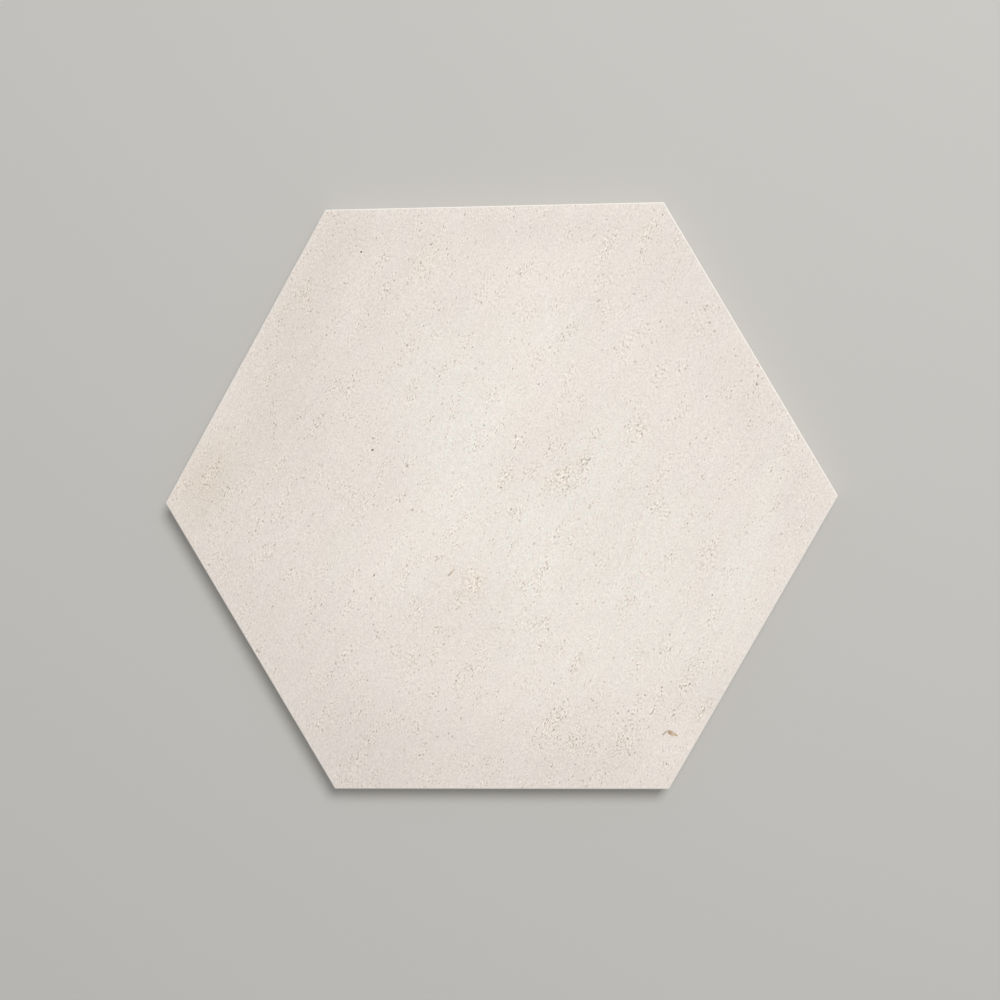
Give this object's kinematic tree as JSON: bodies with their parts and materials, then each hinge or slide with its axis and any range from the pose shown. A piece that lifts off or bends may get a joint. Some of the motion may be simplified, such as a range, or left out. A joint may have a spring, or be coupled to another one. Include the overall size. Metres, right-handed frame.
{
  "type": "hexagon porcelain tile",
  "caption": "Regular hexagonal porcelain tile with a pitted limestone-look face, ground edges and a ribbed bonding back.",
  "frame": {"origin": "middle of the plane that the tile rests on, the plane of the back's ribs", "axes": "+Z out of the decorated face, the tile lying face up; +X at a corner, so that two of the six edges run along X"},
  "size_m": [0.231, 0.2, 0.009],
  "materials": {
    "porcelain": "matte"
  },
  "bodies": {
    "root": {"hexagon_tile": "porcelain"}
  },
  "joints": []
}
